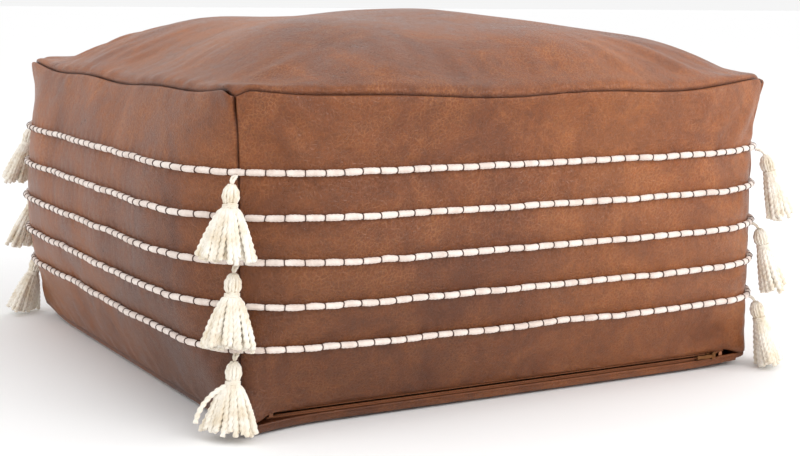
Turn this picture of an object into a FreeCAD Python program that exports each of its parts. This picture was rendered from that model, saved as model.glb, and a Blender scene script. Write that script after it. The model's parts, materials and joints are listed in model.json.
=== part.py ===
"""Square leather floor pouf: six sewn panels, a filling, laid yarn rows, corner tassels and a zip.

Millimetres, +Z up, origin at the centre of the footprint on the floor.  The front side faces -Y.
"""
import FreeCAD, Part
import math
import os

V = FreeCAD.Vector
doc = FreeCAD.newDocument("pouf")

# ---------------------------------------------------------------- driving dimensions
sheet = doc.addObject("Spreadsheet::Sheet", "Dimensions")
SIZES = {
    # heights of the two horizontal seams
    "seam_low": 10,
    "seam_high": 298,
    # half width of the cover at its vertical corners, at the low seam, half way up and at the high seam
    "corner_low": 285,
    "corner_half": 284,
    "corner_high": 290,
    # half width in the middle of a side, half way up
    "belly": 323,
    # half width in the middle of each side at the low and the high seam
    "front_low": 287,
    "front_high": 330,
    "right_low": 292,
    "right_high": 316,
    "back_low": 292,
    "back_high": 316,
    "left_low": 288,
    "left_high": 300,
    # how far the round of a vertical corner reaches along each side
    "round_low": 18,
    "round_half": 44,
    "round_high": 26,
    # top of the crown and the flat the pouf stands on
    "crown": 353,
    "foot_inset": 16,
    "leather": 1.5,
    "fill_gap": 1.2,
    # laid yarn and the thread that ties it down
    "row_top": 228,
    "row_pitch": 38,
    "row_count": 5,
    "yarn_r": 3.2,
    "yarn_spans": 12,
    "air": 0.5,
    "tie_r": 0.45,
    "tie_count": 36,
    "tie_sweep": 230,
    # tassels
    "loop_r": 1.3,
    "loop_half": 3.9,
    "loop_top": 4.7,
    "loop_drop": 9,
    "loop_out": 11,
    "eye_r": 2.7,
    "eye_wide": 4.4,
    "head_r": 8.2,
    "head_half": 9,
    "head_drop": 10.8,
    "neck_r": 6,
    "skirt_top": 6.5,
    "neck_drop": 18.5,
    "skirt_drop": 63.5,
    "skirt_half": 27.5,
    "skirt_deep": 13.6,
    "lean": 11.5,
    "wrap_r": 1.1,
    # zip: height of its middle, its plane behind the front edge, and its pieces
    "zip_z": 14.2,
    "zip_y": -283.2,
    "zip_half": 258,
    "slot_half": 265,
    "slot_top": 17.8,
    "rim_top": 10.6,
    "tape_thick": 0.6,
    "tape_tall": 1.5,
    "upper_tape_tall": 9,
    "tooth_tall": 1.6,
    "tooth_long": 2.4,
    "tooth_deep": 3,
    "tooth_pitch": 4,
    "chain_gap": 1.4,
    "slider_long": 12,
    "slider_tall": 6.2,
    "slider_deep": 6.4,
    "slider_plate": 1.2,
    "slider_x": 240,
    "web": 0.8,
    "pivot_off": 5.1,
    "pin_r": 0.8,
    "lug": 1.1,
    "pull_long": 20,
    "pull_tall": 3.4,
    "pull_thick": 1.5,
    "stop_long": 4,
    "stop_thick": 1,
}
for row, (name, value) in enumerate(SIZES.items(), start=1):
    sheet.set(f"A{row}", name)
    sheet.set(f"B{row}", str(value))
    sheet.setAlias(f"B{row}", name)
doc.recompute()


def dim(name):
    """A driving dimension from the sheet."""
    return float(getattr(sheet, name))


def bound(kind, label, sizes=None, placement=None):
    """A document object with its sizes bound to sheet expressions."""
    obj = doc.addObject(kind, label)
    obj.Label = label
    for prop, formula in (sizes or {}).items():
        obj.setExpression(prop, formula)
    if placement is not None:
        obj.Placement = placement
    return obj


def coded(label, shape):
    """A document object for a shape no feature can make."""
    obj = doc.addObject("Part::Feature", label)
    obj.Label = label
    obj.Shape = shape
    return obj


def one_solid(faces, label):
    """A closed solid from faces that share their edges."""
    shell = Part.Shell(faces)
    shell.sewShape()
    solid = Part.Solid(Part.Shell(shell.Faces))
    if solid.Volume < 0:
        solid.reverse()
    if not solid.isValid() or solid.Volume <= 0:
        raise RuntimeError(f"{label} did not close")
    return solid


# ---------------------------------------------------------------- the cover's outline
SIDES = ["front", "right", "back", "left"]
LEATHER = dim("leather")


def quadratic(low, half, high, v):
    """Value at v of the curve that is low at 0, half at one half and high at 1."""
    middle = 2 * half - (low + high) / 2
    return (1 - v) ** 2 * low + 2 * v * (1 - v) * middle + v**2 * high


def side_numbers(side, v):
    """Corner half width, corner round and middle half width of one side at seam fraction v."""
    corner = quadratic(dim("corner_low"), dim("corner_half"), dim("corner_high"), v)
    reach = quadratic(dim("round_low"), dim("round_half"), dim("round_high"), v)
    belly = quadratic(dim(side + "_low"), dim("belly"), dim(side + "_high"), v)
    return corner, reach, belly


def turned(side, along, out, z):
    """A point given along and out from a side, in the row frame."""
    x, y = along, -out
    for _ in range(SIDES.index(side)):
        x, y = -y, x
    return V(x, y, z)


def outline_from(numbers, side, inset, z):
    """Five poles of a side's outline, moved in by inset."""
    corner, reach, belly = numbers
    corner = corner - inset * math.sqrt(0.5)
    reach = reach - inset * (1 - math.sqrt(0.5))
    shoulder = corner + reach
    centre = (16 * (belly - inset) - 2 * corner - 8 * shoulder) / 6
    flat = [(-corner, corner), (reach - corner, shoulder), (0, centre)]
    flat += [(corner - reach, shoulder), (corner, corner)]
    return [turned(side, along, out, z) for along, out in flat]


def outline(side, v, inset, z):
    return outline_from(side_numbers(side, v), side, inset, z)


def pole_outline(side, level, inset, z):
    """Poles of the outline at the low seam, the middle pole row or the high seam."""
    if level != 1:
        return outline(side, level / 2, inset, z)
    low, half, high = [side_numbers(side, v) for v in (0, 0.5, 1)]
    middle = [2 * h - (a + b) / 2 for a, h, b in zip(low, half, high)]
    return outline_from(middle, side, inset, z)


def curve(poles):
    edge = Part.BezierCurve()
    edge.setPoles(poles)
    return edge.toShape()


def patch(grid):
    """A Bezier face from rows of poles."""
    surface = Part.BezierSurface()
    surface.increase(len(grid) - 1, len(grid[0]) - 1)
    for i, poles in enumerate(grid, start=1):
        for j, pole in enumerate(poles, start=1):
            surface.setPole(i, j, pole)
    return surface.toShape()


def ruled(first, second):
    """The ruled face between two curves given by their poles."""
    return patch([list(pair) for pair in zip(first, second)])


def side_grid(side, inset):
    """Poles of one side, moved in by inset: five along by three up."""
    low = dim("seam_low") + inset
    high = dim("seam_high") - inset
    levels = [low, (low + high) / 2, high]
    rows = [pole_outline(side, k, inset, z) for k, z in enumerate(levels)]
    return [list(column) for column in zip(*rows)]


def top_grid(inset):
    """Poles of the top: the four high seams and a raised middle."""
    z = dim("seam_high") - inset
    edge = {side: outline(side, 1, inset, z) for side in SIDES}
    centre_share = (14 / 16) ** 2
    raised = (dim("crown") - inset - (1 - centre_share) * z) / centre_share
    corner, reach, _ = side_numbers("front", 1)
    spots = [-(corner - reach), 0, corner - reach]
    grid = [list(reversed(edge["left"]))]
    for i in (1, 2, 3):
        inner = [V(spots[i - 1], spots[j], raised) for j in range(3)]
        grid.append([edge["front"][i]] + inner + [edge["back"][4 - i]])
    grid.append(edge["right"])
    return grid


def foot_outline(side, inset, z):
    """Outline of the flat the pouf stands on."""
    return outline(side, 0, dim("foot_inset") + inset, z)


def foot_face(inset, z):
    edges = [curve(foot_outline(side, inset, z)) for side in SIDES]
    return Part.Face(Part.Wire(edges))


def mitre_edges(outer, inner):
    """Four ruled faces between the borders of two pole grids."""
    pairs = [(outer[0], inner[0]), (outer[-1], inner[-1])]
    pairs.append(([row[0] for row in outer], [row[0] for row in inner]))
    pairs.append(([row[-1] for row in outer], [row[-1] for row in inner]))
    return [ruled(a, b) for a, b in pairs]


def sheet_between(outer, inner, label):
    """A panel between an outer and an inner pole grid."""
    return one_solid([patch(outer), patch(inner)] + mitre_edges(outer, inner), label)


def tray(label):
    """The bottom panel: a flat foot with a low skirt that rises to the low seam."""
    low = dim("seam_low")
    faces = [foot_face(0, 0), foot_face(LEATHER, LEATHER)]
    for side in SIDES:
        seam = outline(side, 0, 0, low)
        seam_in = outline(side, 0, LEATHER, low + LEATHER)
        faces.append(ruled(foot_outline(side, 0, 0), seam))
        faces.append(ruled(foot_outline(side, LEATHER, LEATHER), seam_in))
        faces.append(ruled(seam, seam_in))
    return one_solid(faces, label)


def filling_solid(label):
    """Everything inside the cover, a little clear of the leather."""
    inset = LEATHER + dim("fill_gap")
    low = dim("seam_low") + inset
    faces = [patch(top_grid(inset)), foot_face(inset, inset)]
    for side in SIDES:
        faces.append(patch(side_grid(side, inset)))
        faces.append(ruled(foot_outline(side, inset, inset), outline(side, 0, inset, low)))
    return one_solid(faces, label)


# ---------------------------------------------------------------- cover panels and filling
nodes = []
nodes.append(coded("top_panel", sheet_between(top_grid(0), top_grid(LEATHER), "top_panel")))
for side in SIDES[1:]:
    name = "side_panel_" + side
    nodes.append(coded(name, sheet_between(side_grid(side, 0), side_grid(side, LEATHER), name)))

front_whole = coded("front_whole", sheet_between(side_grid("front", 0), side_grid("front", LEATHER), "front"))
slot = bound(
    "Part::Box",
    "zip_slot",
    {"Length": "2 * Dimensions.slot_half", "Width": "60", "Height": "Dimensions.slot_top + 10"},
    FreeCAD.Placement(V(-dim("slot_half"), -340, -10), FreeCAD.Rotation()),
)
front_panel = bound("Part::Cut", "side_panel_front")
front_panel.Base = front_whole
front_panel.Tool = slot
nodes.append(front_panel)

bottom_whole = coded("bottom_whole", tray("bottom_panel"))
rim_slot = bound(
    "Part::Box",
    "rim_slot",
    {"Length": "2 * Dimensions.slot_half", "Width": "60", "Height": "10"},
    FreeCAD.Placement(V(-dim("slot_half"), -340, dim("rim_top")), FreeCAD.Rotation()),
)
bottom_panel = bound("Part::Cut", "bottom_panel")
bottom_panel.Base = bottom_whole
bottom_panel.Tool = rim_slot
nodes.append(bottom_panel)

filling_whole = coded("filling_whole", filling_solid("filling"))
room = bound(
    "Part::Box",
    "zip_room",
    {"Length": "2 * Dimensions.slot_half + 10", "Width": "80", "Height": "44"},
    FreeCAD.Placement(V(-dim("slot_half") - 5, dim("zip_y") - 72, -10), FreeCAD.Rotation()),
)
filling = bound("Part::Cut", "filling")
filling.Base = filling_whole
filling.Tool = room
nodes.append(filling)

# ---------------------------------------------------------------- laid yarn rows and their ties
YARN = dim("yarn_r")
STAND_OFF = YARN + dim("air")
ROWS = range(int(dim("row_count")))


def row_height(row):
    return dim("row_top") - row * dim("row_pitch")


def row_poles(side, row):
    """Poles of the centre line of one side's stretch of a row."""
    z = row_height(row)
    v = (z - dim("seam_low")) / (dim("seam_high") - dim("seam_low"))
    return outline(side, v, -STAND_OFF, z)


def level_arc(start, heading, end):
    """The level arc that leaves start along heading and reaches end."""
    chord = end - start
    side_on = V(-heading.y, heading.x, 0)
    centre = start + side_on * (chord.dot(chord) / (2 * side_on.dot(chord)))
    radial = ((start - centre) + (end - centre)).normalize()
    return Part.Arc(start, centre + radial * (start - centre).Length, end).toShape()


def arc_pair(start, heading_in, end, heading_out):
    """Two tangent arcs from start to end with the given headings."""
    chord = end - start
    both = heading_in + heading_out
    spread = 2 * (1 - heading_in.dot(heading_out))
    lean = chord.dot(both)
    reach = (math.sqrt(lean**2 + spread * chord.dot(chord)) - lean) / spread
    middle = (start + end + (heading_in - heading_out) * reach) * 0.5
    first = level_arc(start, heading_in, middle)
    return [first, level_arc(middle, first.tangentAt(first.LastParameter), end)]


def laid_yarn(side, row):
    """A round yarn that follows tangent arcs along one side, in shorter spans near its ends."""
    line = curve(row_poles(side, row))
    spans = int(dim("yarn_spans"))
    shares = [(1 - math.cos(math.pi * k / spans)) / 2 for k in range(spans + 1)]
    marks = [line.getParameterByLength(line.Length * share) for share in shares]
    arcs = []
    for a, b in zip(marks, marks[1:]):
        arcs += arc_pair(line.valueAt(a), line.tangentAt(a), line.valueAt(b), line.tangentAt(b))
    start = line.valueAt(line.FirstParameter)
    ring = Part.Wire([Part.Circle(start, line.tangentAt(line.FirstParameter), YARN).toShape()])
    return Part.Wire(arcs).makePipeShell([ring], True, False)


def tie_ring(centre, heading):
    """A short arc of thread that crosses the yarn from leather to leather."""
    sweep = dim("tie_sweep")
    radius = YARN + dim("air") * 0.6 + dim("tie_r")
    outward = heading.cross(V(0, 0, 1))
    start = FreeCAD.Rotation(heading, -sweep / 2).multVec(outward)
    ring = Part.makeTorus(radius, dim("tie_r"), V(0, 0, 0), V(0, 0, 1), -180, 180, sweep)
    turn = FreeCAD.Rotation(start, heading.cross(start), heading, "XYZ")
    ring.Placement = FreeCAD.Placement(centre, turn)
    return ring


def row_ties(side, row):
    """Evenly spaced ties along one side of a row."""
    line = curve(row_poles(side, row))
    count = int(dim("tie_count"))
    rings = []
    for k in range(count):
        spot = line.getParameterByLength(line.Length * (k + 0.5) / count)
        rings.append(tie_ring(line.valueAt(spot), line.tangentAt(spot)))
    return rings


for row in ROWS:
    yarns = [laid_yarn(side, row) for side in SIDES]
    nodes.append(coded(f"laid_yarn_row_{row + 1}", Part.makeCompound(yarns)))
    rings = [ring for side in SIDES for ring in row_ties(side, row)]
    nodes.append(coded(f"couching_ties_row_{row + 1}", Part.makeCompound(rings)))

# ---------------------------------------------------------------- tassels
CORNERS = {"front_left": 225, "front_right": 315, "back_right": 45, "back_left": 135}
LEVELS = {"upper": 0, "middle": 2, "lower": 4}


def anchor_frame(heading, row):
    """Frame at a tassel's anchor: X runs out from the corner, Y along the round, Z up."""
    z = row_height(row)
    v = (z - dim("seam_low")) / (dim("seam_high") - dim("seam_low"))
    corner = quadratic(dim("corner_low"), dim("corner_half"), dim("corner_high"), v)
    turn = FreeCAD.Rotation(V(0, 0, 1), heading)
    return FreeCAD.Placement(turn.multVec(V(corner * math.sqrt(2), 0, z)), turn)


def local(x, z, axis=V(0, 1, 0), angle=0):
    return FreeCAD.Placement(V(x, 0, z), FreeCAD.Rotation(axis, angle))


def hanging_loop(label, at):
    """A closed yarn loop: two legs, a bar through the seam and a bar through the tassel's head."""
    half = dim("loop_half")
    top = V(dim("loop_r") + dim("air"), 0, -dim("loop_top") - dim("loop_r"))
    foot = V(dim("loop_out"), 0, -dim("loop_drop"))
    corners = [top + V(0, -half, 0), top + V(0, half, 0), foot + V(0, half, 0), foot + V(0, -half, 0)]
    tubes = []
    for a, b in zip(corners, corners[1:] + corners[:1]):
        tubes.append(Part.makeCylinder(dim("loop_r"), (b - a).Length, a, b - a))
        tubes.append(Part.makeSphere(dim("loop_r"), a))
    shape = tubes[0].multiFuse(tubes[1:])
    obj = coded(label, shape)
    obj.Placement = at
    return obj


def tassel_skein(label, at):
    """Folded yarn: a round head with the loop's hole through it, a neck and a flared skirt."""
    pivot = at.multiply(local(dim("loop_out"), -dim("loop_drop"), angle=-dim("lean")))
    head = bound(
        "Part::Ellipsoid",
        label + "_head",
        {
            "Radius1": "Dimensions.head_half",
            "Radius2": "Dimensions.head_r",
            "Radius3": "Dimensions.head_r",
            "Angle1": "-90",
            "Angle2": "90",
        },
        pivot.multiply(local(0, -dim("head_drop"))),
    )
    levels = [(dim("neck_drop"), "skirt_top", "skirt_top"), (dim("skirt_drop"), "skirt_half", "skirt_deep")]
    rings = []
    for number, (drop, wide, deep) in enumerate(levels):
        quarter = FreeCAD.Placement(V(0, 0, -drop), FreeCAD.Rotation(V(0, 0, 1), 90))
        ring = bound(
            "Part::Ellipse",
            f"{label}_ring_{number}",
            {"MajorRadius": "Dimensions." + wide + " + 0.05", "MinorRadius": "Dimensions." + deep},
            pivot.multiply(quarter),
        )
        rings.append(ring)
    skirt = bound("Part::Loft", label + "_skirt")
    skirt.Sections = rings
    skirt.Solid = True
    skirt.Ruled = True
    neck = bound(
        "Part::Cylinder",
        label + "_neck",
        {"Radius": "Dimensions.neck_r", "Height": "Dimensions.neck_drop - Dimensions.head_drop + 4"},
        pivot.multiply(local(0, -dim("neck_drop") - 4)),
    )
    eye_turn = FreeCAD.Rotation(V(1, 0, 0), 90)
    eye_place = pivot.multiply(FreeCAD.Placement(V(0, dim("eye_wide") / 2, 0), eye_turn))
    eye = bound(
        "Part::Cylinder",
        label + "_eye",
        {"Radius": "Dimensions.eye_r", "Height": "Dimensions.eye_wide"},
        eye_place,
    )
    folded = bound("Part::MultiFuse", label + "_folded")
    folded.Shapes = [head, neck, skirt, eye]
    hole = bound(
        "Part::Cylinder",
        label + "_hole",
        {"Radius": "Dimensions.loop_r + 0.1", "Height": "Dimensions.eye_wide"},
        eye_place,
    )
    skein = bound("Part::Cut", label)
    skein.Base = folded
    skein.Tool = hole
    return skein


def neck_wrap(label, at):
    pivot = at.multiply(local(dim("loop_out"), -dim("loop_drop"), angle=-dim("lean")))
    sizes = {
        "Radius1": "Dimensions.neck_r + Dimensions.wrap_r + 0.7",
        "Radius2": "Dimensions.wrap_r",
    }
    return bound("Part::Torus", label, sizes, pivot.multiply(local(0, -dim("neck_drop") + 1.3)))


for corner_name, heading in CORNERS.items():
    for level_name, row in LEVELS.items():
        at = anchor_frame(heading, row)
        which = f"{corner_name}_{level_name}"
        nodes.append(hanging_loop("tassel_loop_" + which, at))
        nodes.append(tassel_skein("tassel_skein_" + which, at))
        nodes.append(neck_wrap("tassel_wrap_" + which, at))

# ---------------------------------------------------------------- zip
ZIP_Z = dim("zip_z")
ZIP_Y = dim("zip_y")
TOOTH = dim("tooth_tall")
HALF_GAP = dim("chain_gap") / 2


def box_at(label, sizes, corner):
    return bound("Part::Box", label, sizes, FreeCAD.Placement(corner, FreeCAD.Rotation()))


tape_y = ZIP_Y - dim("tape_thick") / 2
tape = {"Length": "2 * Dimensions.zip_half", "Width": "Dimensions.tape_thick"}
low_edge = ZIP_Z - HALF_GAP - TOOTH - dim("tape_tall")
lower = dict(tape, Height="Dimensions.tape_tall")
nodes.append(box_at("zipper_tape_lower", lower, V(-dim("zip_half"), tape_y, low_edge)))
upper = dict(tape, Height="Dimensions.upper_tape_tall")
nodes.append(box_at("zipper_tape_upper", upper, V(-dim("zip_half"), tape_y, ZIP_Z + HALF_GAP + TOOTH)))


def tooth_row(low, shift):
    """Identical teeth in a row, with their low edge at low."""
    pitch = dim("tooth_pitch")
    count = int((2 * dim("zip_half") - 16) / pitch)
    first = -pitch * (count - 1) / 2 - dim("tooth_long") / 2 + shift
    teeth = []
    for k in range(count):
        corner = V(first + k * pitch, ZIP_Y - dim("tooth_deep") / 2, low)
        teeth.append(Part.makeBox(dim("tooth_long"), dim("tooth_deep"), TOOTH, corner))
    return Part.makeCompound(teeth)


quarter_pitch = dim("tooth_pitch") / 4
nodes.append(coded("zipper_teeth_lower", tooth_row(ZIP_Z - HALF_GAP - TOOTH, -quarter_pitch)))
nodes.append(coded("zipper_teeth_upper", tooth_row(ZIP_Z + HALF_GAP, quarter_pitch)))

slider_x = dim("slider_x")
deep = dim("slider_deep")
pivot_y = ZIP_Y - dim("pivot_off")
slider_low = ZIP_Z - dim("slider_tall") / 2
plate = {
    "Length": "Dimensions.slider_long",
    "Width": "Dimensions.slider_plate",
    "Height": "Dimensions.slider_tall",
}
left = slider_x - dim("slider_long") / 2
front_plate = box_at("slider_front", plate, V(left, ZIP_Y - deep / 2, slider_low))
back_y = ZIP_Y + deep / 2 - dim("slider_plate")
back_plate = box_at("slider_back", plate, V(left, back_y, slider_low))
web = box_at(
    "slider_web",
    {"Length": "4", "Width": "Dimensions.slider_deep", "Height": "Dimensions.web"},
    V(slider_x + 2, ZIP_Y - deep / 2, ZIP_Z - dim("web") / 2),
)
lug = {
    "Length": "2.8",
    "Width": "Dimensions.pivot_off - Dimensions.slider_deep / 2 + 1.6",
    "Height": "Dimensions.lug",
}
lug_low = box_at("slider_lug_low", lug, V(slider_x - 1.4, pivot_y - 1.4, slider_low))
lug_top = slider_low + dim("slider_tall") - dim("lug")
lug_high = box_at("slider_lug_high", lug, V(slider_x - 1.4, pivot_y - 1.4, lug_top))
pin = bound(
    "Part::Cylinder",
    "slider_pin",
    {"Radius": "Dimensions.pin_r", "Height": "Dimensions.slider_tall - Dimensions.lug"},
    FreeCAD.Placement(V(slider_x, pivot_y, slider_low + dim("lug") / 2), FreeCAD.Rotation()),
)
slider = bound("Part::MultiFuse", "zipper_slider")
slider.Shapes = [front_plate, back_plate, web, lug_low, lug_high, pin]
nodes.append(slider)

pull_low = ZIP_Z - dim("pull_tall") / 2
pull_body = box_at(
    "pull_tab",
    {
        "Length": "Dimensions.pull_long",
        "Width": "Dimensions.pull_thick",
        "Height": "Dimensions.pull_tall",
    },
    V(slider_x - dim("pull_long"), pivot_y - dim("pull_thick") / 2, pull_low),
)
at_pivot = FreeCAD.Placement(V(slider_x, pivot_y, pull_low), FreeCAD.Rotation())
pull_barrel = bound(
    "Part::Cylinder",
    "pull_barrel",
    {"Radius": "Dimensions.pin_r + 0.75", "Height": "Dimensions.pull_tall"},
    at_pivot,
)
pull_whole = bound("Part::MultiFuse", "pull_whole")
pull_whole.Shapes = [pull_body, pull_barrel]
pull_bore = bound(
    "Part::Cylinder",
    "pull_bore",
    {"Radius": "Dimensions.pin_r + 0.06", "Height": "Dimensions.pull_tall"},
    at_pivot,
)
pull = bound("Part::Cut", "zipper_pull")
pull.Base = pull_whole
pull.Tool = pull_bore
nodes.append(pull)

stops = []
for sign in (-1, 1):
    middle = sign * (dim("zip_half") - dim("stop_long"))
    corner = V(middle - dim("stop_long") / 2, tape_y - dim("stop_thick") - 0.1, ZIP_Z - HALF_GAP - TOOTH)
    tall = 2 * (HALF_GAP + TOOTH)
    stops.append(Part.makeBox(dim("stop_long"), dim("stop_thick"), tall, corner))
nodes.append(coded("zipper_end_stops", Part.makeCompound(stops)))

# ---------------------------------------------------------------- checks and export
doc.recompute()
for obj in doc.Objects:
    if "Invalid" in obj.State or "Error" in obj.State:
        raise RuntimeError(f"{obj.Label} failed: {obj.State}")
os.makedirs("parts", exist_ok=True)
for node in nodes:
    shape = node.Shape
    if shape.isNull() or not shape.isValid() or not shape.Solids:
        raise RuntimeError(f"{node.Label} has no sound shape")
    shape.exportStep(f"parts/{node.Label}.step")
    print(node.Label, len(shape.Solids), round(shape.Volume, 1))
print(len(nodes), "nodes")
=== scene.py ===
"""Looks of the square leather pouf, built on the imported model.  Metres, +Z up, the zip's side faces -Y."""
import json
import math

import bpy
import numpy as np
from mathutils import Matrix, Vector


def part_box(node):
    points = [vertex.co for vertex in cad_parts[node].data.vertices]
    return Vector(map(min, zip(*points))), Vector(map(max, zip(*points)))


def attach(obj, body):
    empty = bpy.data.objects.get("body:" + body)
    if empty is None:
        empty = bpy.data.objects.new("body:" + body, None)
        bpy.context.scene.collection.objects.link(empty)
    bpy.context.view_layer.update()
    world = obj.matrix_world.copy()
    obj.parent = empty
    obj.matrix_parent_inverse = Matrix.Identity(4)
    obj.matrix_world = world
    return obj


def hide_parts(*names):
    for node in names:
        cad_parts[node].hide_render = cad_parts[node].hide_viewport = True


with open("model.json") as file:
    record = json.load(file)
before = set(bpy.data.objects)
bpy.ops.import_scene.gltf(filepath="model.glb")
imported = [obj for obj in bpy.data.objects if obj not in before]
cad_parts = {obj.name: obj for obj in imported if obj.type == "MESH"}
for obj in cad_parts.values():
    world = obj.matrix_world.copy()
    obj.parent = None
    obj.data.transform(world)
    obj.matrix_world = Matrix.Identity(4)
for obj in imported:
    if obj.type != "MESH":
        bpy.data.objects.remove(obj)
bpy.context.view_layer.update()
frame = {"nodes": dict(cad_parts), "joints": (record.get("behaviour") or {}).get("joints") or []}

MM = 0.001
RNG = np.random.default_rng(7)

# ------------------------------------------------------------------ small helpers


def smoothstep(t):
    t = np.clip(t, 0.0, 1.0)
    return t * t * (3.0 - 2.0 * t)


def unit(vectors):
    length = np.linalg.norm(vectors, axis=-1, keepdims=True)
    return vectors / np.maximum(length, 1e-12)


def stacked(*parts):
    """Vectors from their three components."""
    return np.stack(np.broadcast_arrays(*parts), -1)


def ripples(points, seed, count, shortest, longest):
    """Smooth seeded noise of about unit height, from plane waves of the given lengths in millimetres."""
    rng = np.random.default_rng(seed)
    total = np.zeros(points.shape[:-1])
    for _ in range(count):
        heading = unit(rng.normal(size=3))
        length = np.exp(rng.uniform(np.log(shortest), np.log(longest)))
        total += np.cos(points @ heading * (2 * math.pi / length) + rng.uniform(0, 2 * math.pi))
    return total / math.sqrt(count / 2)


def grid_faces(rows, columns, offset=0, closed=False):
    """Quads of a grid of rows by columns, its columns joined end to end if closed."""
    i = np.arange(rows - 1)[:, None]
    j = np.arange(columns if closed else columns - 1)[None, :]
    k = (j + 1) % columns
    here, above = i * columns, (i + 1) * columns
    quads = stacked(here + j, here + k, above + k, above + j).reshape(-1, 4) + offset
    return quads if closed else quads[:, ::-1]


def mesh_object(name, points, faces, material=None, **fields):
    """A smooth mesh; fields are values kept at its points, for its material to read."""
    mesh = bpy.data.meshes.new(name)
    # a corner named twice marks a triangle
    corners = [list(dict.fromkeys(face)) for face in np.asarray(faces).tolist()]
    mesh.from_pydata(np.asarray(points, float).tolist(), [], corners)
    mesh.validate()
    mesh.shade_smooth()
    for field, values in fields.items():
        layer = mesh.attributes.new(field, "FLOAT", "POINT")
        layer.data.foreach_set("value", np.asarray(values, np.float32).ravel())
    obj = bpy.data.objects.new(name, mesh)
    bpy.context.scene.collection.objects.link(obj)
    if material is not None:
        mesh.materials.append(material)
    return obj


def stands_for(piece, nodes, body):
    """Hides the parts that a piece replaces and hangs it on the body that it rides on."""
    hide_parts(*nodes)
    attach(piece, body)


# ------------------------------------------------------------------ the cover's form, in millimetres
SIDES = ("front", "right", "back", "left")
CORNERS = {"front_left": (-1, -1), "front_right": (1, -1), "back_right": (1, 1), "back_left": (-1, 1)}
KNOTS = np.array([0.0, 0.229, 0.5, 0.771, 1.0])
# distance of each side's middle from the pouf's middle, at each knot of height
BELLY = {
    "front": [287, 312, 323, 318, 334],
    "right": [292, 313, 323, 316, 318],
    "back": [292, 313, 323, 316, 316],
    "left": [286, 311, 323, 316, 296],
}
CORNER = [286, 284.5, 284, 284, 290]
# slope of the plan at the corners: 1 is round, less is creased
ROUNDNESS = [0.55, 0.95, 1.0, 0.9, 0.4]
HALF = 288.0
LOW_Z = 10.0
SEAM_Z = 292.0
# rise of the upper seam at its corners, and its waviness between them
EAR_RISE = 9.0
SEAM_WAVE = 1.7
CROWN = 69.0
BASE_ROUND = 16.0
# front zip: heights of the lips over and under it, the half length of the opening between them and
# the length over which it closes at each end
LIP_HIGH = 17.7
LIP_LOW = 10.7
OPEN_HALF = 282.0
OPEN_EASE = 26.0
# groove where panels meet, and the roll of leather beside it: depth or height, and reach
GROOVE, GROOVE_WIDE = 3.8, 1.2
ROLL, ROLL_REACH = 3.0, 7.0
CORNER_GROOVE = 2.4
BASE_GROOVE = 1.6
# lifted base corners by corner signs, dimpled top corners and the pushed-out front one: size, then reach
BASE_LIFTS, LIFT_REACH = {(1, -1): 5.0, (-1, 1): 9.0, (1, 1): 5.0}, 45.0
DIMPLE, DIMPLE_REACH = 6.5, 8.0
BULGE, BULGE_REACH = 20.0, 46.0


def through(values, v):
    """Smooth curve through a value at each knot of height."""
    return np.polyval(np.polyfit(KNOTS, values, 4), v)


def turned(side, along, out, z):
    """Points or vectors given along and out from a side, in the row frame."""
    x, y = along, -out
    for _ in range(SIDES.index(side)):
        x, y = -y, x
    return stacked(x, y, z)


def open_share(x):
    """1 along the zip's opening, falling to 0 at its ends."""
    return smoothstep((OPEN_HALF - np.abs(x)) / OPEN_EASE)


def side_form(side, u, v):
    """The cover's side at u from -1 to 1 along it and v from 0 to 1 up it."""
    corner = through(CORNER, v)
    belly = through(BELLY[side], v)
    steep = np.maximum(through(ROUNDNESS, v) * corner / np.maximum(belly - corner, 4.0), 2.6)
    out = corner + (belly - corner) * (1 - np.abs(u) ** steep)
    top = SEAM_Z + EAR_RISE * np.abs(u) ** 4
    top = top + SEAM_WAVE * np.sin(8.5 * u + 1.3 * SIDES.index(side)) * (1 - u**4)
    low = LOW_Z
    if side == "front":
        low = LOW_Z + (LIP_HIGH - LOW_Z) * open_share(u * HALF)
    return turned(side, u * corner, out, low + (top - low) * v)


def sheet_form(a, b, level):
    """The sheet inside the sides' edge at a level of 0 or 1, at a and b from -1 to 1."""
    v = np.full_like(a, level)
    s, t = ((a + 1) / 2)[..., None], ((b + 1) / 2)[..., None]
    front, back = side_form("front", a, v), side_form("back", -a, v)
    right, left = side_form("right", b, v), side_form("left", -b, v)
    ruled = (1 - t) * front + t * back + (1 - s) * left + s * right
    ends = [side_form(side, v - level - 1, v) for side in SIDES]
    flat = (1 - s) * (1 - t) * ends[0] + s * (1 - t) * ends[1] + s * t * ends[2] + (1 - s) * t * ends[3]
    return ruled - flat


def top_form(a, b):
    points = sheet_form(a, b, 1.0)
    points[..., 2] += CROWN * (1 - np.abs(a) ** 3.4) * (1 - np.abs(b) ** 3.4)
    return points


def bottom_form(a, b):
    points = sheet_form(a, b, 0.0)
    edge = np.clip(HALF * np.minimum(1 - np.abs(a), 1 - np.abs(b)) / BASE_ROUND, 0, 1)
    rim = LOW_Z + (LIP_LOW - LOW_Z) * open_share(points[..., 0]) * (b < 0)
    points[..., 2] = rim * (1 - np.sqrt(1 - (1 - edge) ** 2))
    return points


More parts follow.
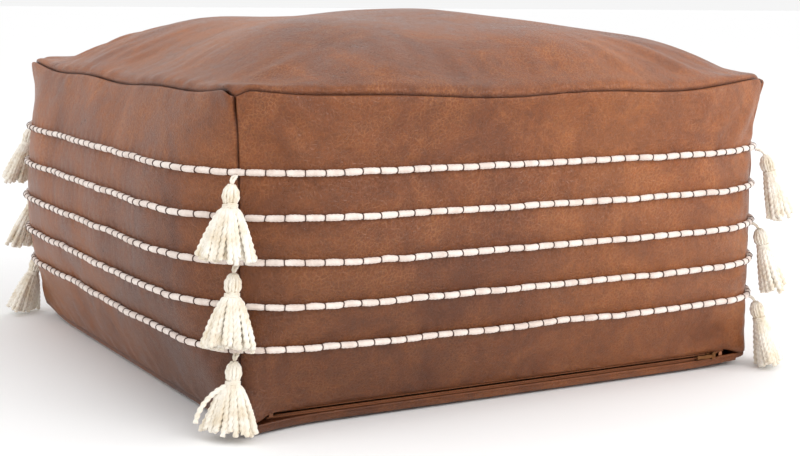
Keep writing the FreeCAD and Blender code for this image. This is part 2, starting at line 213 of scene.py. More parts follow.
def settled(points):
    """The cover's points with its dimpled top corners, lifted base corners and the pushed-out front one."""
    points = points.copy()
    x, y, z = (points[..., k].copy() for k in range(3))
    base = np.exp(-np.maximum(z, 0) / 30)
    for sx, sy in CORNERS.values():
        plan = np.hypot(x - sx * HALF, y - sy * HALF)
        points[..., 2] -= DIMPLE * np.exp(-((plan / DIMPLE_REACH) ** 2)) * smoothstep((z - 230) / 60)
        lift = BASE_LIFTS.get((sx, sy), 0.0)
        points[..., 2] += lift * np.exp(-((plan / LIFT_REACH) ** 2)) * base
    plan = np.hypot(x + HALF, y + HALF)
    push = BULGE * np.exp(-((plan / BULGE_REACH) ** 2)) * base
    points[..., 1] -= push
    points[..., 0] -= 0.25 * push
    return points


def spaced(length, fine, coarse, growth=1.3):
    """Parameters from -1 to 1, fine at the ends and coarse in the middle."""
    steps = [fine]
    while sum(steps) < length / 2:
        steps.append(min(steps[-1] * growth, coarse))
    marks = np.concatenate([[0], np.cumsum(steps)]) / sum(steps)
    return np.concatenate([marks - 1, 1 - marks[-2::-1]])


ALONG = spaced(600, 1.0, 4.6)
UP = (spaced(290, 1.0, 4.0) + 1) / 2


def fold(points, start, end, wide, high, bend=0.0):
    """A soft fold along a line from start to end that fades at both ends."""
    start, end = np.array(start, float), np.array(end, float)
    along = end - start
    length = np.linalg.norm(along)
    along = along / length
    side = unit(np.cross(along, np.array([0.0, 0.0, 1.0])) + 1e-9)
    t = np.clip((points - start) @ along / length, 0, 1)
    centre = start + along * (t * length)[..., None] + side * (bend * np.sin(math.pi * t))[..., None]
    away = np.linalg.norm(points - centre, axis=-1) / wide
    fade = smoothstep(t / 0.25) * smoothstep((1 - t) / 0.6)
    return high * fade * (np.exp(-(away**2)) - 0.45 * np.exp(-((away - 1.6) ** 2) / 0.5))


def groove(distance):
    return np.exp(-distance / GROOVE_WIDE)


def roll(distance, high):
    away = distance / ROLL_REACH
    return high * away * np.exp(1 - away)


def grid_normals(points, out):
    """Normals of a grid of points, on the side that faces out."""
    normal = unit(np.cross(np.gradient(points, axis=0), np.gradient(points, axis=1)))
    return normal * np.sign(np.sum(normal * out, -1, keepdims=True) + 1e-12)


# folds: start, end, half width, height, bend; the top's run in from its seams
TOP_FOLDS = (
    ((-276, -262, 298), (-120, -170, 335), 9, 2.4, 14),
    ((-262, -278, 298), (-70, -210, 330), 10, 2.0, -12),
    ((262, -276, 298), (40, -180, 338), 11, 2.6, 16),
    ((278, -255, 298), (150, -90, 340), 10, 2.2, -14),
    ((270, 262, 298), (120, 120, 345), 11, 2.0, 10),
    ((-274, 258, 298), (-150, 60, 340), 11, 2.6, -16),
    ((-258, 276, 298), (-60, 190, 335), 10, 2.0, 12),
    ((-286, 40, 294), (-130, 10, 338), 11, 2.6, 10),
    ((-286, 100, 294), (-120, 60, 340), 10, 3.0, 12),
    ((-286, 165, 294), (-130, 120, 338), 10, 2.6, 12),
    ((-286, 215, 296), (-150, 180, 334), 9, 2.2, 8),
    ((-284, -50, 294), (-150, -60, 334), 11, 2.2, -10),
    ((-284, -130, 294), (-160, -110, 334), 10, 2.0, -8),
    ((205, -308, 294), (120, -180, 338), 13, 3.2, -12),
    ((110, -314, 294), (60, -205, 332), 12, 2.8, 8),
    ((10, -318, 294), (30, -225, 330), 12, 2.2, -8),
    ((-70, -316, 294), (-40, -220, 330), 11, 2.2, -8),
    ((-160, -312, 294), (-110, -200, 334), 12, 2.8, 10),
)
# folds that hang from the front's upper seam and its ears
FRONT_FOLDS = (
    ((-276, -288, 288), (-215, -316, 215), 10, 2.2, 0),
    ((-262, -292, 290), (-150, -324, 240), 9, 1.6, 0),
    ((276, -288, 288), (222, -314, 205), 10, 2.6, 0),
    ((255, -294, 290), (190, -318, 225), 9, 2.2, 0),
    ((205, -310, 290), (168, -320, 240), 10, 1.8, 0),
    ((90, -325, 288), (70, -326, 246), 12, 1.4, 0),
)

# ------------------------------------------------------------------ cloth simulation of the cover
CLOTH = {}
CLOTH_CAP = 6.0
CLOTH_GRID = 61


def relaxed(panel, u, v):
    """How far the simulation moved a panel at u and v from -1 to 1."""
    if panel not in CLOTH:
        return np.zeros(u.shape + (3,))
    field = CLOTH[panel]
    rows, columns = field.shape[:2]
    x = np.clip((u + 1) / 2, 0, 1) * (rows - 1)
    y = np.clip((v + 1) / 2, 0, 1) * (columns - 1)
    i = np.minimum(x.astype(int), rows - 2)
    j = np.minimum(y.astype(int), columns - 2)
    s, t = (x - i)[..., None], (y - j)[..., None]
    low = field[i, j] * (1 - s) + field[i + 1, j] * s
    high = field[i, j + 1] * (1 - s) + field[i + 1, j + 1] * s
    return low * (1 - t) + high * t


def softened(field, rounds):
    """A grid of vectors with each inner one moved to the mean of its neighbours."""
    for _ in range(rounds):
        inner = (field[:-2, 1:-1] + field[2:, 1:-1] + field[1:-1, :-2] + field[1:-1, 2:]) / 4
        field = field.copy()
        field[1:-1, 1:-1] = 0.5 * field[1:-1, 1:-1] + 0.5 * inner
    return field


def simulate_cover():
    """Blows the closed cover up as cloth held at its seams, and keeps how far each panel moved."""
    even = np.linspace(-1, 1, CLOTH_GRID)
    rise = np.linspace(0, 1, CLOTH_GRID // 2 + 1)
    u, v = np.meshgrid(even, rise, indexing="ij")
    a, b = np.meshgrid(even, even, indexing="ij")
    grids = {side: side_form(side, u, v) for side in SIDES}
    grids["top"] = top_form(a, b)
    grids["bottom"] = bottom_form(a, b)
    points, faces, place, offset = [], [], {}, 0
    for name, grid in grids.items():
        count = grid.shape[0] * grid.shape[1]
        quads = grid_faces(*grid.shape[:2], offset=offset)
        points.append(grid.reshape(-1, 3))
        faces.append(quads[:, ::-1] if name == "bottom" else quads)
        place[name] = (offset + np.arange(count)).reshape(grid.shape[:2])
        offset += count
    points = np.concatenate(points) * MM
    # points that panels share at their seams become one
    _, first, back = np.unique(np.round(points, 5), axis=0, return_index=True, return_inverse=True)
    back = back.reshape(-1)
    start = points[first]
    shell = mesh_object("cover_cloth", start, back[np.concatenate(faces)])
    held = set(back[place["bottom"]].ravel().tolist())
    for index in place.values():
        for line in (index[0], index[-1], index[:, 0], index[:, -1]):
            held.update(back[line].tolist())
    pins = shell.vertex_groups.new(name="held")
    pins.add(sorted(held), 1.0, "REPLACE")
    rules = shell.modifiers.new("cloth", "CLOTH").settings
    rules.vertex_group_mass = "held"
    rules.quality = 5
    rules.mass = 0.4
    rules.tension_stiffness = rules.compression_stiffness = 25
    rules.shear_stiffness = 8
    rules.bending_stiffness = 1.2
    rules.shrink_min = -0.010
    rules.use_pressure = True
    rules.uniform_pressure_force = 4
    rules.effector_weights.gravity = 0
    scene = bpy.context.scene
    for step in range(1, 21):
        scene.frame_set(step)
    evaluated = shell.evaluated_get(bpy.context.evaluated_depsgraph_get())
    blown = np.empty(len(start) * 3)
    evaluated.data.vertices.foreach_get("co", blown)
    shift = (blown.reshape(-1, 3) - start) / MM
    far = np.maximum(np.linalg.norm(shift, axis=1, keepdims=True), 1e-9)
    print("cloth moved", round(float(far.max()), 1), "mm at most,", round(float(far.mean()), 1), "on average")
    shift = shift * np.tanh(far / CLOTH_CAP) * CLOTH_CAP / far
    for name, index in place.items():
        CLOTH[name] = softened(shift[back[index]], 8)
    scene.frame_set(1)
    mesh = shell.data
    bpy.data.objects.remove(shell)
    bpy.data.meshes.remove(mesh)


# ------------------------------------------------------------------ panels
ROW_Z = [228, 190, 152, 114, 76]
TIES = 36
# how deep each row presses into the leather, half its extra depth at the ties, and its reach
PRESS, PUCKER, PRESS_REACH = 0.5, 0.5, 9


def side_points(side, u, v):
    """A side panel's points with its grooves, rolls and puckers, and how near each is to a seam, which sets the
    painted shade along it.
    """
    points = side_form(side, u, v)
    normal = grid_normals(points, turned(side, 0.0, 1.0, 0.0))
    high, low, end = HALF * (1 - v), HALF * v, HALF * (1 - np.abs(u))
    upright = CORNER_GROOVE + (GROOVE - CORNER_GROOVE) * np.exp(-high / 10)
    out = np.maximum(np.maximum(GROOVE * groove(high), upright * groove(end)), BASE_GROOVE * groove(low))
    along = upright * groove(end) * np.sign(u)
    sunk = turned(side, -along, -out, -GROOVE * groove(high)) / math.sqrt(2)
    seed = SIDES.index(side)
    shape = roll(high, 1.0) + roll(low, 0.5) + roll(end, 0.5 + 1.6 * smoothstep((v - 0.75) / 0.25))
    inside = smoothstep(np.minimum(np.minimum(high, low), end) / 30)
    shape += 0.9 * inside * ripples(points, seed, 14, 70, 220)
    shape += 0.5 * np.exp(-high / 14) * ripples(points, 20 + seed, 10, 14, 34) * smoothstep(high / 3)
    shape += 0.8 * np.exp(-low / 16) * ripples(points, 30 + seed, 10, 18, 44) * smoothstep(low / 3)
    shape += 0.5 * np.exp(-end / 22) * ripples(points, 40 + seed, 10, 16, 40) * smoothstep(end / 3)
    for crease in FRONT_FOLDS if side == "front" else ():
        shape += fold(points, *crease)
    tie = np.cos(2 * math.pi * (u + 1) / 2 * TIES)
    for z in ROW_Z:
        near = (points[..., 2] - z) / PRESS_REACH
        shape -= (PRESS + PUCKER * (1 - tie) * inside) * np.exp(-(near**2))
    points = points + sunk + normal * shape[..., None] + relaxed(side, u, 2 * v - 1)
    # weight of the painted shade along the seam grooves
    seam = np.maximum(np.maximum(groove(high), 0.8 * groove(low)), groove(end))
    return settled(points) * MM, seam


def top_points(a, b):
    """The top panel's points with its groove, roll and folds, and how near each is to the seam, which sets the
    painted shade along it.
    """
    points = top_form(a, b)
    normal = grid_normals(points, np.array([0.0, 0.0, 1.0]))
    edge_a, edge_b = HALF * (1 - np.abs(a)), HALF * (1 - np.abs(b))
    edge = np.minimum(edge_a, edge_b)
    deep_a, deep_b = GROOVE * groove(edge_a), GROOVE * groove(edge_b)
    sunk = -stacked(deep_a * np.sign(a), deep_b * np.sign(b), np.maximum(deep_a, deep_b)) / math.sqrt(2)
    shape = roll(edge, ROLL)
    shape += 1.3 * smoothstep(edge / 40) * ripples(points, 5, 16, 110, 320)
    shape += 0.6 * np.exp(-edge / 16) * ripples(points, 6, 12, 16, 40) * smoothstep(edge / 3)
    for crease in TOP_FOLDS:
        shape += fold(points, *crease)
    points = points + sunk + normal * shape[..., None] + relaxed("top", a, b)
    return settled(points) * MM, groove(edge)


def bottom_points(a, b):
    """The bottom panel's points, and how near each is to the seam, which sets the painted shade along it."""
    points = bottom_form(a, b)
    edge_a, edge_b = HALF * (1 - np.abs(a)), HALF * (1 - np.abs(b))
    deep_a, deep_b = BASE_GROOVE * groove(edge_a), BASE_GROOVE * groove(edge_b)
    sunk = -stacked(deep_a * np.sign(a), deep_b * np.sign(b), 0 * a) / math.sqrt(2)
    points = settled(points + sunk)
    points[..., 2] = np.maximum(points[..., 2], 0.0)
    return points * MM, 0.8 * groove(np.minimum(edge_a, edge_b))


# ------------------------------------------------------------------ materials


def new_material(name):
    material = bpy.data.materials.new(name)
    material.use_nodes = True
    tree = material.node_tree
    return material, tree, tree.nodes["Principled BSDF"]


def fill_socket(tree, socket, value):
    if isinstance(value, bpy.types.NodeSocket):
        tree.links.new(value, socket)
    elif isinstance(value, tuple) and len(value) == 3 and socket.type == "RGBA":
        socket.default_value = (*value, 1)
    else:
        socket.default_value = value


def node(tree, kind, inputs=None, **settings):
    made = tree.nodes.new(kind)
    for key, value in settings.items():
        setattr(made, key, value)
    for key, value in (inputs or {}).items():
        fill_socket(tree, made.inputs[key], value)
    return made


def ramp(tree, value, stops):
    """A colour ramp driven by value."""
    made = node(tree, "ShaderNodeValToRGB", {"Fac": value})
    elements = made.color_ramp.elements
    while len(elements) < len(stops):
        elements.new(0.5)
    for element, (place, colour) in zip(elements, stops):
        element.position = place
        element.color = (*colour, 1)
    return made.outputs["Color"]


def grey(value):
    return (value, value, value)


def linear(red, green, blue):
    """Linear colour from screen values of 0 to 255."""
    return tuple((c / 255) ** 2.2 for c in (red, green, blue))


def ranged(tree, value, low, high, first, second):
    """Value taken from low..high to first..second, held at both ends."""
    inputs = {"Value": value, "From Min": low, "From Max": high, "To Min": first, "To Max": second}
    return node(tree, "ShaderNodeMapRange", inputs).outputs["Result"]


def maths(tree, operation, first, second):
    return node(tree, "ShaderNodeMath", {0: first, 1: second}, operation=operation).outputs[0]


def noise(tree, place, scale, detail=4.0, rough=0.55, distortion=0.0):
    inputs = {"Vector": place, "Scale": scale, "Detail": detail, "Roughness": rough, "Distortion": distortion}
    return node(tree, "ShaderNodeTexNoise", inputs).outputs["Fac"]


def mixed(tree, factor, first, second, blend="MIX"):
    made = node(tree, "ShaderNodeMix", {0: factor, 6: first, 7: second}, data_type="RGBA", blend_type=blend)
    return made.outputs[2]


def bump(tree, height, strength, distance, normal=None):
    inputs = {"Height": height, "Strength": strength, "Distance": distance}
    if normal is not None:
        inputs["Normal"] = normal
    return node(tree, "ShaderNodeBump", inputs).outputs["Normal"]


# middle of the painted shade that darkens the leather low on the front
SHADED_FOOT = (-0.22, -0.30, 0.08)


def leather_material(name):
    """Semi-gloss waxed leather: mottled, with a fine cracked grain, painted shade that darkens it towards the floor
    and the front's lower left, and painted shade along its seams.
    """
    material, tree, shader = new_material(name)
    place = node(tree, "ShaderNodeTexCoord").outputs["Object"]
    broad = noise(tree, place, 4.0, 3.0, 0.5, distortion=0.5)
    cloudy = noise(tree, place, 17.0, 7.0, 0.66, distortion=0.7)
    fine = noise(tree, place, 95.0, 6.0, 0.75, distortion=0.5)
    colour = ramp(
        tree, broad, [(0.30, linear(118, 62, 28)), (0.50, linear(140, 76, 35)), (0.70, linear(155, 89, 45))]
    )
    colour = mixed(tree, 0.8, colour, ramp(tree, cloudy, [(0.36, grey(0.74)), (0.64, grey(1.1))]), "MULTIPLY")
    colour = mixed(tree, 0.7, colour, ramp(tree, fine, [(0.34, grey(0.7)), (0.66, grey(1.12))]), "MULTIPLY")
    stir = maths(tree, "MULTIPLY", fine, 0.012)
    bent = node(tree, "ShaderNodeVectorMath", {0: place, 1: stir}, operation="ADD").outputs[0]
    cells = node(tree, "ShaderNodeTexVoronoi", {"Vector": bent, "Scale": 300.0}, feature="DISTANCE_TO_EDGE")
    edge = cells.outputs["Distance"]
    worn = ranged(tree, cloudy, 0.42, 0.66, 0.06, 0.5)
    crack = maths(tree, "MULTIPLY", ranged(tree, edge, 0.0, 0.17, 1.0, 0.0), worn)
    colour = mixed(tree, crack, colour, linear(196, 130, 78))
    height = node(tree, "ShaderNodeSeparateXYZ", {0: place}).outputs["Z"]
    foot = node(tree, "ShaderNodeVectorMath", {0: place, 1: SHADED_FOOT}, operation="DISTANCE").outputs["Value"]
    # painted shade: darker towards the floor and around the front's lower left, where less light reaches
    low, near = ranged(tree, height, 0.0, 0.22, 0.72, 1.0), ranged(tree, foot, 0.05, 0.40, 0.64, 1.0)
    painted_shade = maths(tree, "MULTIPLY", low, near)
    shade = node(tree, "ShaderNodeCombineColor", {0: painted_shade, 1: painted_shade, 2: painted_shade}).outputs[0]
    colour = mixed(tree, 1.0, colour, shade, "MULTIPLY")
    # painted shade along the seam grooves and inside the zip's lips, mixed towards dark brown
    seam = node(tree, "ShaderNodeAttribute", attribute_name="seam").outputs["Fac"]
    colour = mixed(tree, ranged(tree, seam, 0.25, 0.9, 0.0, 0.85), colour, linear(62, 28, 12))
    fill_socket(tree, shader.inputs["Base Color"], colour)
    dull, gritty = ranged(tree, cloudy, 0.35, 0.65, 0.29, 0.42), ranged(tree, fine, 0.3, 0.7, -0.05, 0.08)
    fill_socket(tree, shader.inputs["Roughness"], maths(tree, "ADD", dull, gritty))
    pebble = ranged(tree, edge, 0.0, 0.2, 0.0, 1.0)
    grain = maths(tree, "ADD", maths(tree, "MULTIPLY", pebble, 0.6), fine)
    first = bump(tree, grain, 0.75, 0.0006)
    fill_socket(tree, shader.inputs["Normal"], bump(tree, cloudy, 0.7, 0.0022, first))
    shader.inputs["Specular IOR Level"].default_value = 0.46
    return material


def yarn_material(name, light, dark):
    """Soft undyed cotton yarn with fine fibres."""
    material, tree, shader = new_material(name)
    place = node(tree, "ShaderNodeTexCoord").outputs["Object"]
    patch = noise(tree, place, 70.0, 2.0)
    fibre = noise(tree, place, 1100.0, 3.0, 0.7)
    colour = ramp(tree, patch, [(0.3, linear(*dark)), (0.6, linear(*light))])
    colour = mixed(tree, 0.5, colour, ramp(tree, fibre, [(0.3, grey(0.82)), (0.6, grey(1.0))]), "MULTIPLY")
    fill_socket(tree, shader.inputs["Base Color"], colour)
    fill_socket(tree, shader.inputs["Normal"], bump(tree, fibre, 0.6, 0.0004))
    shader.inputs["Roughness"].default_value = 0.95
    shader.inputs["Specular IOR Level"].default_value = 0.12
    shader.inputs["Sheen Weight"].default_value = 0.35
    shader.inputs["Sheen Roughness"].default_value = 0.6
    return material


def plain_material(name, colour, roughness, metallic=0.0, grain=300.0, depth=0.0002):
    """One colour with a fine grain in its tone and surface."""
    material, tree, shader = new_material(name)
    place = node(tree, "ShaderNodeTexCoord").outputs["Object"]
    speck = noise(tree, place, grain, 4.0)
    dim, bright = (tuple(min(share * c, 1) for c in colour) for share in (0.75, 1.15))
    fill_socket(tree, shader.inputs["Base Color"], ramp(tree, speck, [(0.3, dim), (0.7, bright)]))
    fill_socket(tree, shader.inputs["Normal"], bump(tree, speck, 0.3, depth))
    shader.inputs["Roughness"].default_value = roughness
    shader.inputs["Metallic"].default_value = metallic
    return material


LEATHER = leather_material("cover_leather")
YARN = yarn_material("cream_yarn", (239, 225, 215), (218, 199, 187))
TASSEL = yarn_material("tassel_yarn", (248, 241, 228), (228, 213, 188))
THREAD = plain_material("brown_thread", linear(74, 48, 40), 0.7)
TAPE = plain_material("zip_tape", linear(128, 78, 50), 0.9, grain=1500.0)
TEETH = plain_material("zip_teeth", linear(164, 104, 70), 0.35)
METAL = plain_material("aged_brass", linear(126, 88, 58), 0.38, metallic=1.0)

# ------------------------------------------------------------------ cover
simulate_cover()
U, V = np.meshgrid(ALONG, UP, indexing="ij")
A, B = np.meshgrid(ALONG, ALONG, indexing="ij")
panels = {}


def panel_object(name, nodes, points, seam, flip=False):
    faces = grid_faces(*points.shape[:2])
    piece = mesh_object(name, points.reshape(-1, 3), faces[:, ::-1] if flip else faces, LEATHER, seam=seam)
    stands_for(piece, nodes, "cover")


for side in SIDES:
    panels[side], seam = side_points(side, U, V)
    panel_object("side_leather_" + side, ["side_panel_" + side], panels[side], seam)
panel_object("top_leather", ["top_panel", "filling"], *top_points(A, B))
bottom, seam = bottom_points(A, B)
panel_object("bottom_leather", ["bottom_panel"], bottom, seam, flip=True)


# front face of the zip's tape; the lips' rolled edge, its gap from the tape and its stop short of the opening's end
ZIP_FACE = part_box("zipper_tape_upper")[0][1]
LIP_R, LIP_GAP, LIP_SHORT = 1.2, 0.6, 6


def zip_lip(name, line, turn):
    """The folded edge of leather over or under the zip; line runs along it, turn is 1 over and -1 under."""
    inward, upward = np.array([0.0, 1.0, 0.0]), np.array([0.0, 0.0, turn])
    depth = ZIP_FACE - LIP_GAP * MM - line[:, 1]
    profile = [(0.4, 6.5), (-0.3, 4.6), (-0.9, 3.2)]
    profile += [(-LIP_R * math.cos(t), LIP_R * math.sin(t)) for t in np.radians(np.linspace(60, -90, 10))]
    rows = [line + (inward * into + upward * (rise + LIP_R)) * MM for into, rise in profile]
    last = rows[-1]
    for share in (0.15, 0.5, 1.0):
        rows.append(last + inward * (depth * share)[:, None])
    grid = np.array(rows).transpose(1, 0, 2)
    # painted shade on the rows that turn in towards the zip's tape
    dark = np.broadcast_to(np.linspace(0, 1, len(rows)) > 0.75, grid.shape[:2])
    faces = grid_faces(*grid.shape[:2])
    piece = mesh_object(name, grid.reshape(-1, 3), faces if turn < 0 else faces[:, ::-1], LEATHER, seam=dark)
    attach(piece, "cover")


for name, line, turn in (("zip_lip_over", panels["front"][:, 0], 1), ("zip_lip_under", bottom[:, 0], -1)):
    zip_lip(name, line[np.abs(line[:, 0]) < (OPEN_HALF - LIP_SHORT) * MM], turn)

# ------------------------------------------------------------------ tubes


def sweep_frames(path):
    """Tangents and a pair of steady normals along a path."""
    tangent = unit(np.gradient(path, axis=0))
    normal = np.zeros_like(path)
    start = np.array([0.0, 0.0, 1.0]) if abs(tangent[0, 2]) < 0.9 else np.array([1.0, 0.0, 0.0])
    normal[0] = unit(start - tangent[0] * (start @ tangent[0]))
    for k in range(1, len(path)):
        side = normal[k - 1] - tangent[k] * (normal[k - 1] @ tangent[k])
        normal[k] = unit(side)
    return tangent, normal, np.cross(tangent, normal)


def tube(path, radius, around=8, plies=1, pitch=0.01, cut=0.0, phase=0.0):
    """Points and faces of a closed tube; plies, pitch and cut twist a grooved section along it."""
    path = np.asarray(path, float)
    _, normal, binormal = sweep_frames(path)
    step = np.linalg.norm(np.diff(path, axis=0), axis=1)
    run = np.concatenate([[0], np.cumsum(step)])
    angle = np.linspace(0, 2 * math.pi, around, endpoint=False)
    twist = 2 * math.pi * run / pitch + phase
    lobes = 1 - cut * (0.5 + 0.5 * np.cos(plies * (angle[None, :] - twist[:, None])))
    reach = np.broadcast_to(np.asarray(radius, float), (len(path),))[:, None] * lobes
    ring = (
        path[:, None]
        + normal[:, None] * (reach * np.cos(angle))[..., None]
        + binormal[:, None] * (reach * np.sin(angle))[..., None]
    )
    points = np.concatenate([ring.reshape(-1, 3), path[:1], path[-1:]])
    faces = grid_faces(len(path), around, closed=True)
    count = len(path) * around
    j = np.arange(around)
    k = (j + 1) % around
    first = np.stack([k, j, np.full(around, count), np.full(around, count)], -1)
    last = count - around + np.stack([j, k], -1)
    last = np.concatenate([last, np.full((around, 2), count + 1)], -1)
    return points, np.concatenate([faces, first, last])


def joined(parts):
    """One list of points and faces from several."""
    points, faces, offset = [], [], 0
    for spots, quads in parts:
        points.append(spots)
        faces.append(quads + offset)
        offset += len(spots)
    return np.concatenate(points), np.concatenate(faces)


def tube_object(name, parts, material):
    return mesh_object(name, *joined(parts), material)


# ------------------------------------------------------------------ laid yarn and ties
UPWARD = np.array([0, 0, 1.0])
# in millimetres: the yarn's radius and its middle's height off the leather, the ring and the radius of a tie
YARN_R, YARN_OUT, TIE_RING, TIE_R = 3.0, 2.9, 2.6, 0.5
TIE_TURN = np.radians(np.linspace(-125, 125, 15))


def resampled(path, count):
    """Evenly spaced points on a path."""
    step = np.linalg.norm(np.diff(path, axis=0), axis=1)
    run = np.concatenate([[0], np.cumsum(step)])
    where = np.linspace(0, run[-1], count)
    return np.stack([np.interp(where, run, path[:, k]) for k in range(3)], -1)


def row_line(side, z_mm, out_mm, count=577):
    """A level line on a side panel's surface, out_mm clear of it."""
    grid = panels[side]
    line = []
    for column in grid:
        line.append([np.interp(z_mm * MM, column[:, 2], column[:, k]) for k in range(3)])
    line = resampled(np.array(line), count)
    tangent = unit(np.gradient(line, axis=0))
    outward = np.cross(tangent, UPWARD)
    return tangent, unit(outward), line + outward * out_mm * MM


for number, z in enumerate(ROW_Z, start=1):
    yarns, ties = [], []
    for side in SIDES:
        tangent, outward, centre = row_line(side, z, YARN_OUT)
        share = np.linspace(0, TIES, len(centre))
        squeeze = 0.74 + 0.26 * np.minimum(1, 1.15 * np.abs(np.sin(math.pi * (share - 0.5))) ** 0.45)
        wobble = np.interp(share, np.arange(0, TIES + 1, 1.0), RNG.normal(0, 0.35, TIES + 1))
        swell = np.interp(share, np.arange(0, TIES + 0.5, 0.5), RNG.normal(1, 0.035, 2 * TIES + 1))
        centre = centre + UPWARD * wobble[:, None] * MM
        yarns.append(tube(centre, YARN_R * MM * squeeze * swell, around=14, plies=3, pitch=0.011, cut=0.10))
        for k in range(TIES):
            at = int(round((k + 0.5) / TIES * (len(centre) - 1)))
            up = unit(UPWARD + tangent[at] * RNG.normal(0, 0.12))
            across = outward[at] * (TIE_RING * MM * np.cos(TIE_TURN))[:, None]
            path = centre[at] + across + up * (TIE_RING * MM * np.sin(TIE_TURN))[:, None]
            ties.append(tube(path, TIE_R * MM, around=6))
    yarn = tube_object(f"laid_yarn_{number}", yarns, YARN)
    stands_for(yarn, [f"laid_yarn_row_{number}"], "cover")
    tie = tube_object(f"couching_{number}", ties, THREAD)
    stands_for(tie, [f"couching_ties_row_{number}"], "cover")

# ------------------------------------------------------------------ tassels
LEVELS = ("upper", "middle", "lower")
# where a tassel hangs from: the loop's reach out of the leather and its drop, in millimetres
LOOP_OUT, LOOP_DROP = 11.0, 9.0
# how far tassels lie out at rest, and the corners where they lie further out
LEAN = math.radians(11.5)
MORE_LEAN = {"back_left": math.radians(9), "front_right": math.radians(5)}
# strand lengths, the bottom of the head, the radii of the head and the waist, and the hem's half depth and width
STRAND_LONG, SHORTER = 63.5, {"front_left_lower": 60.0}
HEAD_LONG, HEAD_R, WAIST, HEM_DEEP, HEM_WIDE = 18.5, 6.3, 4.3, 11.5, 24.5
# twist of a strand: two plies, their pitch in metres and the depth of the groove between them
PLY = {"plies": 2, "pitch": 0.011, "cut": 0.36}
# rings of strands: count, size of the ring, share of a step turned; the second ring starts below the head
STRAND_RINGS = ((13, 1.0, 0.0), (13, 0.97, 0.25), (10, 0.7, 0.1), (6, 0.38, 0.0))
SKIRT_RING, HEAD_STEPS = 0.97, 14
NECK_R, NECK_TURNS = 6.1, 3


def tassel_frame(which):
    """A tassel's pivot and its outward and sideways directions, from its joint."""
    joint = next(j for j in frame["joints"] if j["name"] == "tassel_swing_" + which)
    out = np.cross(np.array(joint["axis"]), -UPWARD)
    return np.array(joint["pos_m"]), unit(out), unit(np.cross(UPWARD, out))


def skein_strand(angle, ring, length, rng):
    """A strand's path in the tassel's own frame: out, side and down, in millimetres, from the eye."""
    down = np.concatenate([np.linspace(0.5, HEAD_LONG, HEAD_STEPS), np.linspace(HEAD_LONG + 2, length, 36)])
    head = np.clip((down - 0.5) / (HEAD_LONG - 0.5), 0, 1)
    bulge = HEAD_R * np.sin(math.pi * np.clip(head * 0.86 + 0.06, 0, 1)) ** 0.7
    flare = np.clip((down - HEAD_LONG) / (length - HEAD_LONG), 0, 1)
    blend = smoothstep((down - HEAD_LONG + 3) / 6.0)
    radii = []
    for hem, slack in ((HEM_DEEP, 1.0), (HEM_WIDE, 2.0)):
        radius = np.where(down < HEAD_LONG, bulge, WAIST + (hem - WAIST) * flare**0.66)
        eased = bulge * (1 - blend) + blend * np.minimum(radius, WAIST + slack)
        radii.append(np.where(down < HEAD_LONG + 3, eased, radius))
    deep, wide = radii
    sway = rng.normal(0, 1.3, 2)[:, None] * flare**1.5
    wave = rng.normal(0, 0.7) * np.sin(flare * math.pi * rng.uniform(1, 2.2) + rng.uniform(0, 6)) * flare
    out = ring * deep * np.cos(angle) + sway[0]
    side = ring * wide * np.sin(angle) + sway[1] + wave
    return out, side, down


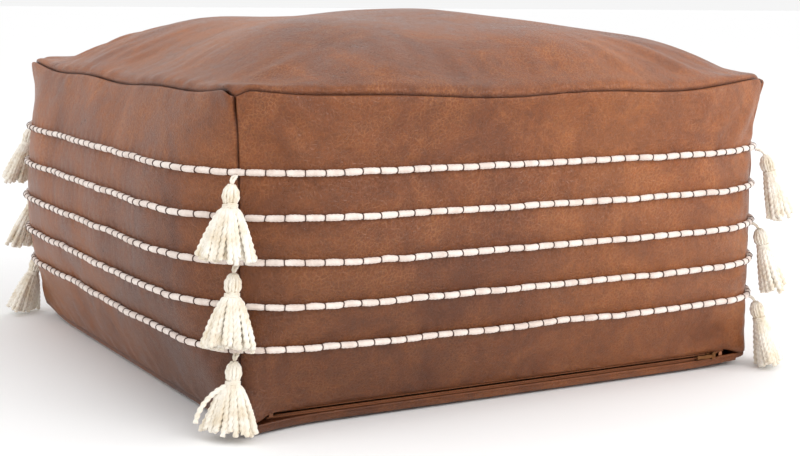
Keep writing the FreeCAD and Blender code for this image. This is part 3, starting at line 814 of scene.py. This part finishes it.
def tassel(which, seed):
    """Skein, neck wrap and loop of the tassel of that corner and level."""
    rng = np.random.default_rng(seed)
    pivot, out_dir, side_dir = tassel_frame(which)
    lean = LEAN + MORE_LEAN.get(which.rsplit("_", 1)[0], 0.0)
    axis_down = -UPWARD * math.cos(lean) + out_dir * math.sin(lean)
    axis_out = out_dir * math.cos(lean) + UPWARD * math.sin(lean)

    def placed(out, side, down):
        return pivot + (axis_out * out[:, None] + side_dir * side[:, None] + axis_down * down[:, None]) * MM

    strands = []
    for count, ring, start in STRAND_RINGS:
        for k in range(count):
            angle = 2 * math.pi * (k + start * 2 + rng.uniform(-0.12, 0.12)) / count
            length = SHORTER.get(which, STRAND_LONG) - 4 * (1 - ring) + rng.normal(0, 1.6)
            out, side, down = skein_strand(angle, ring * rng.uniform(0.93, 1.02), length, rng)
            path = placed(out, side, down)
            radius = np.interp(down, [0, 4, 18, 24, 45, 70], [1.5, 1.8, 1.5, 2.1, 2.7, 2.8]) * MM
            radius[-1] *= 0.8
            if ring == SKIRT_RING:
                path, radius = path[HEAD_STEPS:], radius[HEAD_STEPS:]
            strands.append(tube(path, radius, around=12, phase=rng.uniform(0, 6), **PLY))
    if which == "front_left_lower":
        # a stray strand that leaves the skirt at its neck
        t = np.linspace(0, 1, 30)
        out, side, down = 4.5 + 9 * t, -4 - 22 * (1 - (1 - t) ** 1.9), 21 + 33 * t**1.2
        path = placed(out, side, down)
        strands.append(tube(path, 2.5 * MM, around=12, **PLY))
    skein = tube_object("skein_" + which, strands, TASSEL)
    stands_for(skein, ["tassel_skein_" + which], "tassel_" + which)
    turn = np.linspace(0, 2 * math.pi * NECK_TURNS, 90)
    wrap = placed(NECK_R * np.cos(turn), NECK_R * np.sin(turn), 18.3 + np.linspace(-2.0, 2.0, 90))
    cord = tube(wrap, 0.85 * MM, around=8, plies=2, pitch=0.006, cut=0.2)
    neck = tube_object("neck_" + which, [cord], TASSEL)
    stands_for(neck, ["tassel_wrap_" + which], "tassel_" + which)
    anchor = pivot - out_dir * (LOOP_OUT - 1.0) * MM + UPWARD * (LOOP_DROP - 3.0) * MM
    cords = []
    for sign in (-1, 1):
        t = np.linspace(0, 1, 14)[:, None]
        path = anchor * (1 - t) + (pivot + UPWARD * 0.3 * MM) * t
        path = path + side_dir * sign * 1.5 * MM * np.sin(math.pi * np.clip(t * 0.9 + 0.1, 0, 1))
        path = path + (UPWARD * 1.5 + out_dir) * MM * np.sin(math.pi * t)
        cords.append(tube(path, 1.45 * MM, around=10, plies=2, pitch=0.008, cut=0.25, phase=sign))
    loop = tube_object("loop_" + which, cords, TASSEL)
    stands_for(loop, ["tassel_loop_" + which], "loop_" + which)


for index, corner_name in enumerate(CORNERS):
    for step, level in enumerate(LEVELS):
        tassel(f"{corner_name}_{level}", 100 + 10 * index + step)

# ------------------------------------------------------------------ zip
for name, material in {
    "zipper_tape_lower": TAPE,
    "zipper_tape_upper": TAPE,
    "zipper_slider": METAL,
    "zipper_pull": METAL,
    "zipper_end_stops": TEETH,
}.items():
    obj = frame["nodes"][name]
    obj.data.materials.clear()
    obj.data.materials.append(material)

# pitch of the coils' turns and radius of their wire, in millimetres
COIL_PITCH, COIL_WIRE = 1.6, 0.42
for level in ("lower", "upper"):
    low, high = (np.array(corner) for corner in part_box("zipper_teeth_" + level))
    middle, half = (low + high) / 2, (high - low) / 2 - COIL_WIRE * MM
    x = np.arange(low[0], high[0], COIL_PITCH * MM / 10)
    turn = 2 * math.pi * x / (COIL_PITCH * MM)
    path = stacked(x, middle[1] + half[1] * np.cos(turn), middle[2] + half[2] * np.sin(turn))
    coil = tube_object("zip_coil_" + level, [tube(path, COIL_WIRE * MM, around=6)], TEETH)
    stands_for(coil, ["zipper_teeth_" + level], "cover")

# ------------------------------------------------------------------ floor, light and camera
floor_material, floor_tree, floor_shader = new_material("studio_floor")
floor_shader.inputs["Base Color"].default_value = (0.95, 0.95, 0.95, 1)
floor_shader.inputs["Roughness"].default_value = 0.9
floor_corners = [(-40, -40, 0), (40, -40, 0), (40, 40, 0), (-40, 40, 0)]
floor = mesh_object("studio_floor", floor_corners, [(0, 1, 2, 3)], floor_material)

# strength of the white sky at the horizon and overhead
SKY_LOW, SKY_HIGH = 0.92, 1.12
world = bpy.data.worlds.new("studio")
bpy.context.scene.world = world
world.use_nodes = True
sky = world.node_tree
background = sky.nodes["Background"]
background.inputs["Color"].default_value = (1, 1, 1, 1)
heading = node(sky, "ShaderNodeTexCoord").outputs["Generated"]
upness = node(sky, "ShaderNodeSeparateXYZ", {0: heading}).outputs["Z"]
fill_socket(sky, background.inputs["Strength"], ranged(sky, upness, 0.0, 1.0, SKY_LOW, SKY_HIGH))


def soft_light(name, place, target, size, power, colour=(1, 1, 1)):
    """A square-cornered lamp at a place, turned to a target; its power is in watts."""
    light = bpy.data.lights.new(name, "AREA")
    light.shape = "RECTANGLE"
    light.size, light.size_y = size
    light.energy = power
    light.color = colour
    obj = bpy.data.objects.new(name, light)
    obj.location = place
    obj.rotation_euler = (Vector(target) - Vector(place)).to_track_quat("-Z", "Y").to_euler()
    bpy.context.scene.collection.objects.link(obj)


soft_light("key", (0.8, -3.0, 2.0), (0.05, -0.2, 0.26), (2.2, 1.4), 40)
soft_light("right_window", (2.2, -1.3, 1.2), (0.25, -0.1, 0.25), (0.8, 1.4), 12)
soft_light("left_window", (-2.8, 0.3, 1.0), (0, 0, 0.15), (1.4, 1.2), 6, (0.92, 0.96, 1.0))

# the camera looks along azimuth, from +Y towards +X, and down by elevation; angles in radians
azimuth, elevation, roll = 0.5132, 0.1499, 0.0104
flat = math.cos(elevation)
forward = Vector((math.sin(azimuth) * flat, math.cos(azimuth) * flat, -math.sin(elevation)))
level_right = Vector((math.cos(azimuth), -math.sin(azimuth), 0))
level_up = level_right.cross(forward)
right = level_right * math.cos(roll) + level_up * math.sin(roll)
up = level_up * math.cos(roll) - level_right * math.sin(roll)
camera_data = bpy.data.cameras.new("camera")
camera_data.sensor_width = 36
camera_data.lens = 69.13
camera = bpy.data.objects.new("camera", camera_data)
facing = Matrix((right, up, -forward)).transposed().to_4x4()
camera.matrix_world = Matrix.Translation((-0.7957, -1.4710, 0.3760)) @ facing
bpy.context.scene.collection.objects.link(camera)
bpy.context.scene.camera = camera

bpy.context.scene.view_settings.view_transform = "Standard"
